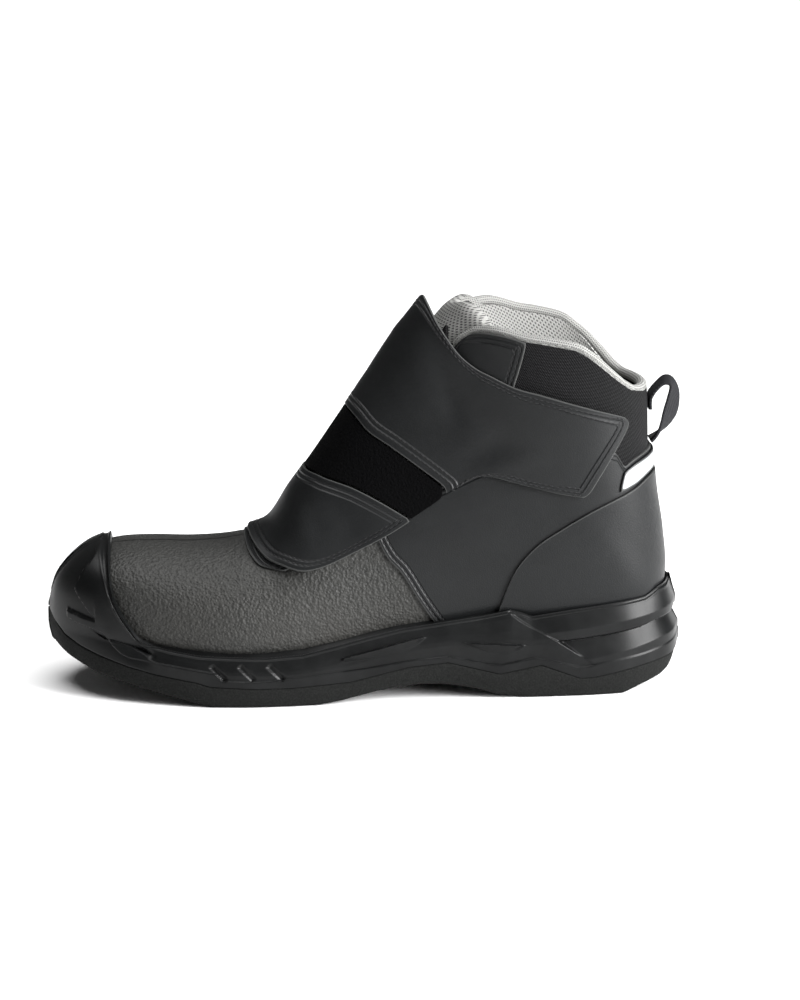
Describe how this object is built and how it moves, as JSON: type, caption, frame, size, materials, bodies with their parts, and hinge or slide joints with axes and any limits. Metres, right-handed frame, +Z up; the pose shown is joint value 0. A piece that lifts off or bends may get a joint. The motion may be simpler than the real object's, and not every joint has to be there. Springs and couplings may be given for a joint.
{
  "type": "safety shoe",
  "caption": "Left ankle-height leather safety shoe with moulded toe guard, instep flap closing over the outer side, padded mesh collar, heel loop and lugged sole.",
  "frame": {"origin": "middle of the heel tread, on the floor", "axes": "+X to the toe, +Y to the wearer's left, which is the outer side, +Z up"},
  "size_m": [0.3076, 0.109, 0.195],
  "materials": {
    "outsole_rubber": "matte black tread rubber",
    "sole_foam": "satin black moulded foam",
    "insole_felt": "flat dark grey fabric",
    "leather": "black leather, smooth and fine grained",
    "reflective": "silver grey reflective cloth",
    "pile": "deep black napped loop pile",
    "tongue_leather": "black padded leather",
    "lining_mesh": "grey spacer mesh",
    "webbing": "black woven tape with a grey stripe"
  },
  "bodies": {
    "root": {"outsole": "outsole_rubber", "midsole": "sole_foam", "insole": "insole_felt", "upper": "leather", "heel_counter": "leather", "reflective_band": "reflective", "throat_tab": "leather", "flap_base": "leather", "flap_band": "pile", "flap_strap": "leather", "tongue": "tongue_leather", "collar_lining": "lining_mesh", "pull_loop": "webbing"}
  },
  "joints": []
}
